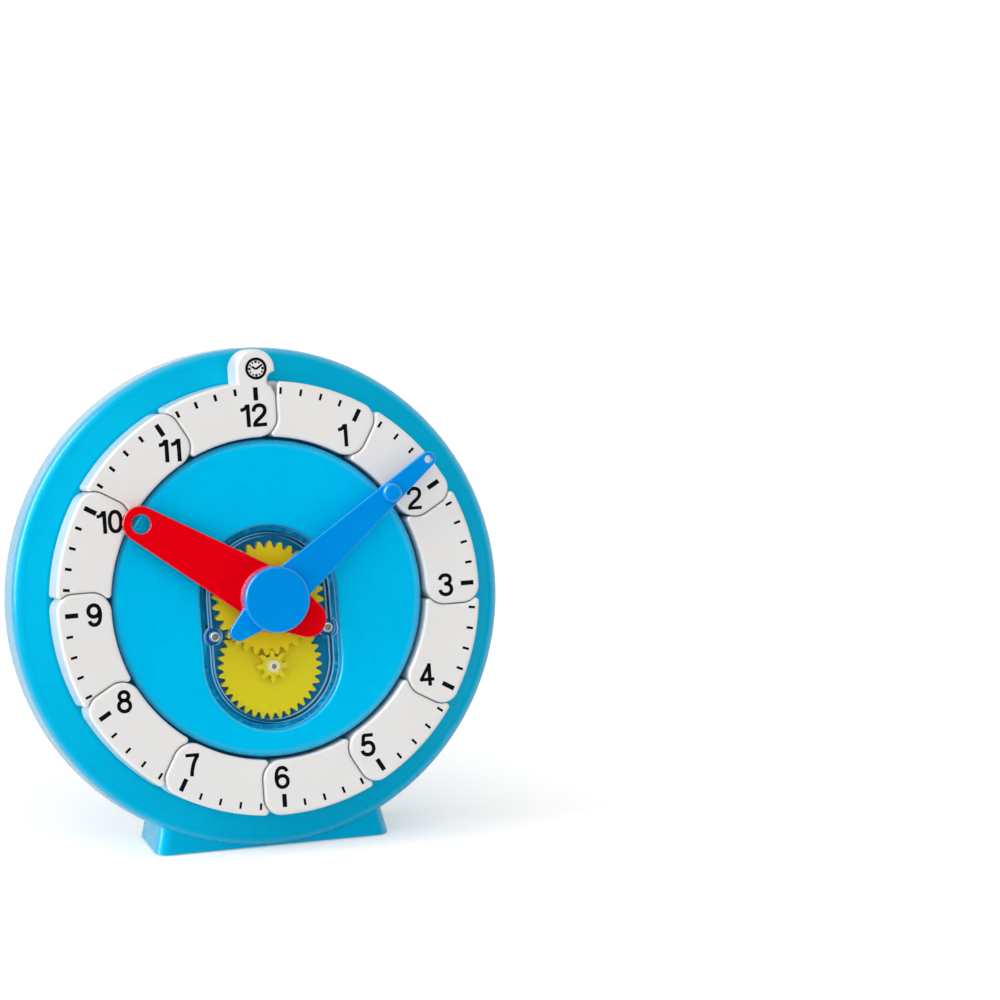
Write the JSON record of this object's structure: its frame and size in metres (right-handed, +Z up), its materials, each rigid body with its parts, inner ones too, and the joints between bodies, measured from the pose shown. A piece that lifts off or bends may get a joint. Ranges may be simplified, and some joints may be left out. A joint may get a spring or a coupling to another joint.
{
  "type": "geared teaching clock",
  "caption": "Free-standing round teaching clock with meshed gears behind a clear window and a hinged number line of links round the dial.",
  "frame": {"origin": "middle of the foot's sole, on the surface that the clock stands on", "axes": "+Z up, the dial faces -Y and leans back 12 degrees, +X to the viewer's right"},
  "size_m": [0.2032, 0.0761, 0.2027],
  "materials": {
    "cyan_plastic": "smooth moulded, soft gloss",
    "deep_blue_plastic": "smooth moulded",
    "white_plastic": "smooth moulded, satin faces",
    "blue_plastic": "smooth moulded",
    "red_plastic": "smooth moulded",
    "yellow_plastic": "smooth moulded",
    "clear_plastic": "clear, polished",
    "screw_steel": "plain bright steel"
  },
  "bodies": {
    "case": {"front_housing": "cyan_plastic", "rear_cover": "cyan_plastic", "cover_screws": "screw_steel", "base_plate": "deep_blue_plastic", "plate_screws": "screw_steel", "face_disc": "cyan_plastic", "disc_screws": "screw_steel", "window_cover": "clear_plastic", "window_screws": "screw_steel", "reduction_axle": "screw_steel"},
    "minute": {"minute_arbor": "screw_steel", "arbor_clip": "screw_steel", "minute_pinion": "yellow_plastic", "minute_hand": "blue_plastic", "hub_cap": "blue_plastic"},
    "hour": {"hour_gear": "yellow_plastic", "hour_hand": "red_plastic"},
    "reduction": {"reduction_gear": "yellow_plastic"},
    "link_01": {"link_01_front": "white_plastic", "link_01_rear": "white_plastic"},
    "link_02": {"link_02_front": "white_plastic", "link_02_rear": "white_plastic"},
    "link_03": {"link_03_front": "white_plastic", "link_03_rear": "white_plastic"},
    "link_04": {"link_04_front": "white_plastic", "link_04_rear": "white_plastic"},
    "link_05": {"link_05_front": "white_plastic", "link_05_rear": "white_plastic"},
    "link_06": {"link_06_front": "white_plastic", "link_06_rear": "white_plastic"},
    "link_07": {"link_07_front": "white_plastic", "link_07_rear": "white_plastic"},
    "link_08": {"link_08_front": "white_plastic", "link_08_rear": "white_plastic"},
    "link_09": {"link_09_front": "white_plastic", "link_09_rear": "white_plastic"},
    "link_10": {"link_10_front": "white_plastic", "link_10_rear": "white_plastic"},
    "link_11": {"link_11_front": "white_plastic", "link_11_rear": "white_plastic"},
    "link_12": {"link_12_front": "white_plastic", "link_12_rear": "white_plastic"}
  },
  "joints": [
    {"name": "minute_turn", "type": "hinge", "parent": "case", "child": "minute", "pos_m": [0, -0.01802, 0.10439], "axis": [0, -0.9781, 0.2079], "continuous": true},
    {"name": "hour_turn", "type": "hinge", "parent": "case", "child": "hour", "pos_m": [0, -0.01802, 0.10439], "axis": [0, -0.9781, 0.2079], "continuous": true},
    {"name": "reduction_turn", "type": "hinge", "parent": "case", "child": "reduction", "pos_m": [0, -0.01525, 0.07559], "axis": [0, -0.9781, 0.2079], "continuous": true},
    {"name": "number_line_release", "type": "hinge", "parent": "case", "child": "link_07", "pos_m": [0.02, -0.02683, 0.02448], "axis": [0, -0.9781, 0.2079], "range_deg": [0, 9.1]},
    {"name": "number_line_unroll", "type": "hinge", "parent": "link_07", "child": "link_08", "pos_m": [-0.03508, -0.02528, 0.03175], "axis": [0, -0.9781, 0.2079], "range_deg": [0, 30]},
    {"name": "link_09_hinge", "type": "hinge", "parent": "link_08", "child": "link_09", "pos_m": [-0.06666, -0.01961, 0.05842], "axis": [0, -0.9781, 0.2079], "range_deg": [0, 30.1]},
    {"name": "link_10_hinge", "type": "hinge", "parent": "link_09", "child": "link_10", "pos_m": [-0.08038, -0.01142, 0.09696], "axis": [0, -0.9781, 0.2079], "range_deg": [0, 30.1]},
    {"name": "link_11_hinge", "type": "hinge", "parent": "link_10", "child": "link_11", "pos_m": [-0.07256, -0.0029, 0.13705], "axis": [0, -0.9781, 0.2079], "range_deg": [0, 30.1]},
    {"name": "link_12_hinge", "type": "hinge", "parent": "link_11", "child": "link_12", "pos_m": [-0.0453, 0.00367, 0.16794], "axis": [0, -0.9781, 0.2079], "range_deg": [0, 30.1]},
    {"name": "link_06_hinge", "type": "hinge", "parent": "link_07", "child": "link_06", "pos_m": [0.0059, -0.0269, 0.0241], "axis": [0, 0.9781, -0.2079], "range_deg": [0, 30.1]},
    {"name": "link_05_hinge", "type": "hinge", "parent": "link_06", "child": "link_05", "pos_m": [0.0453, -0.02405, 0.03752], "axis": [0, 0.9781, -0.2079], "range_deg": [0, 30.1]},
    {"name": "link_04_hinge", "type": "hinge", "parent": "link_05", "child": "link_04", "pos_m": [0.07256, -0.01749, 0.06841], "axis": [0, 0.9781, -0.2079], "range_deg": [0, 30.1]},
    {"name": "link_03_hinge", "type": "hinge", "parent": "link_04", "child": "link_03", "pos_m": [0.08038, -0.00897, 0.1085], "axis": [0, 0.9781, -0.2079], "range_deg": [0, 30.1]},
    {"name": "link_02_hinge", "type": "hinge", "parent": "link_03", "child": "link_02", "pos_m": [0.06666, -0.00077, 0.14704], "axis": [0, 0.9781, -0.2079], "range_deg": [0, 30.1]},
    {"name": "link_01_hinge", "type": "hinge", "parent": "link_02", "child": "link_01", "pos_m": [0.03508, 0.00489, 0.17371], "axis": [0, 0.9781, -0.2079], "range_deg": [0, 30.1]}
  ],
  "couplings": [
    {"joint": "hour_turn", "follows": "minute_turn", "ratio": 0.083333},
    {"joint": "reduction_turn", "follows": "minute_turn", "ratio": -0.33333},
    {"joint": "number_line_release", "follows": "number_line_unroll", "ratio": 0.3},
    {"joint": "link_09_hinge", "follows": "number_line_unroll", "ratio": 1},
    {"joint": "link_10_hinge", "follows": "number_line_unroll", "ratio": 1},
    {"joint": "link_11_hinge", "follows": "number_line_unroll", "ratio": 1},
    {"joint": "link_12_hinge", "follows": "number_line_unroll", "ratio": 1},
    {"joint": "link_06_hinge", "follows": "number_line_unroll", "ratio": 1},
    {"joint": "link_05_hinge", "follows": "number_line_unroll", "ratio": 1},
    {"joint": "link_04_hinge", "follows": "number_line_unroll", "ratio": 1},
    {"joint": "link_03_hinge", "follows": "number_line_unroll", "ratio": 1},
    {"joint": "link_02_hinge", "follows": "number_line_unroll", "ratio": 1},
    {"joint": "link_01_hinge", "follows": "number_line_unroll", "ratio": 1}
  ]
}
